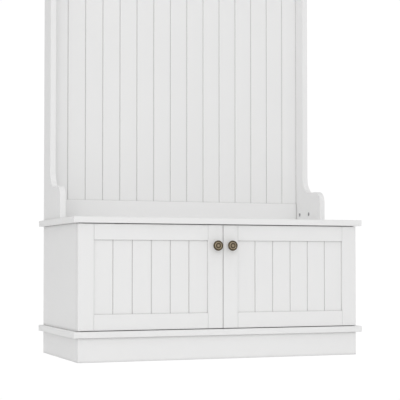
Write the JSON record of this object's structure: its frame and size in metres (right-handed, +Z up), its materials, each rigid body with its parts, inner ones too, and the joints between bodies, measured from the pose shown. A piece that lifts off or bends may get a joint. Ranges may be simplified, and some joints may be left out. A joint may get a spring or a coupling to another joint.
{
  "type": "hall tree",
  "caption": "Hall tree: bench cupboard with two framed beadboard doors, seat board, S-cut upper sides, grooved back, hook rail with coat hooks and a top board.",
  "frame": {"origin": "on the floor, under the centre of the whole object's box", "axes": "+Z up, +X to the right seen from the front, +Y towards the wall; the front faces -Y"},
  "size_m": [0.92, 0.439, 1.8],
  "materials": {
    "white_paint": "satin white paint on smooth MDF",
    "inner_white": "matt white foil inside the cupboard",
    "antique_brass": "antique brass, darkened in the turned rings",
    "zinc_steel": "zinc-plated steel",
    "nylon": "off-white moulded nylon"
  },
  "bodies": {
    "cabinet": {"plinth_front": "white_paint", "plinth_left": "white_paint", "plinth_right": "white_paint", "plinth_back": "white_paint", "bottom_board": "white_paint", "seat_board": "white_paint", "case_side_left": "white_paint", "case_side_right": "white_paint", "upper_side_left": "white_paint", "upper_side_right": "white_paint", "back_boards": "white_paint", "lower_rail": "white_paint", "hook_rail": "white_paint", "top_board": "white_paint", "divider": "inner_white", "shelf_left": "inner_white", "shelf_right": "inner_white", "case_back": "inner_white", "pivot_bush_bottom_left": "nylon", "pivot_bush_top_left": "nylon", "magnetic_catch_left": "nylon", "cam_lock_left_1": "zinc_steel", "cam_dowel_left_1": "zinc_steel", "cam_lock_left_2": "zinc_steel", "cam_dowel_left_2": "zinc_steel", "pivot_bush_bottom_right": "nylon", "pivot_bush_top_right": "nylon", "magnetic_catch_right": "nylon", "cam_lock_right_1": "zinc_steel", "cam_dowel_right_1": "zinc_steel", "cam_lock_right_2": "zinc_steel", "cam_dowel_right_2": "zinc_steel", "coat_hook_1": "antique_brass", "coat_hook_2": "antique_brass", "coat_hook_3": "antique_brass", "coat_hook_4": "antique_brass", "wall_bracket": "zinc_steel"},
    "door_left": {"door_hinge_stile_left": "white_paint", "door_meeting_stile_left": "white_paint", "door_top_rail_left": "white_paint", "door_bottom_rail_left": "white_paint", "door_panel_left": "white_paint", "knob_left": "antique_brass", "knob_screw_left": "zinc_steel", "pivot_pin_bottom_left": "zinc_steel", "pivot_pin_top_left": "zinc_steel", "door_strike_left": "zinc_steel"},
    "door_right": {"door_hinge_stile_right": "white_paint", "door_meeting_stile_right": "white_paint", "door_top_rail_right": "white_paint", "door_bottom_rail_right": "white_paint", "door_panel_right": "white_paint", "knob_right": "antique_brass", "knob_screw_right": "zinc_steel", "pivot_pin_bottom_right": "zinc_steel", "pivot_pin_top_right": "zinc_steel", "door_strike_right": "zinc_steel"}
  },
  "joints": [
    {"name": "door_left_hinge", "type": "hinge", "parent": "cabinet", "child": "door_left", "pos_m": [-0.4375, -0.1885, 0.09], "axis": [0, 0, -1], "range_deg": [0, 110]},
    {"name": "door_right_hinge", "type": "hinge", "parent": "cabinet", "child": "door_right", "pos_m": [0.4375, -0.1885, 0.09], "axis": [0, 0, 1], "range_deg": [0, 110]}
  ]
}
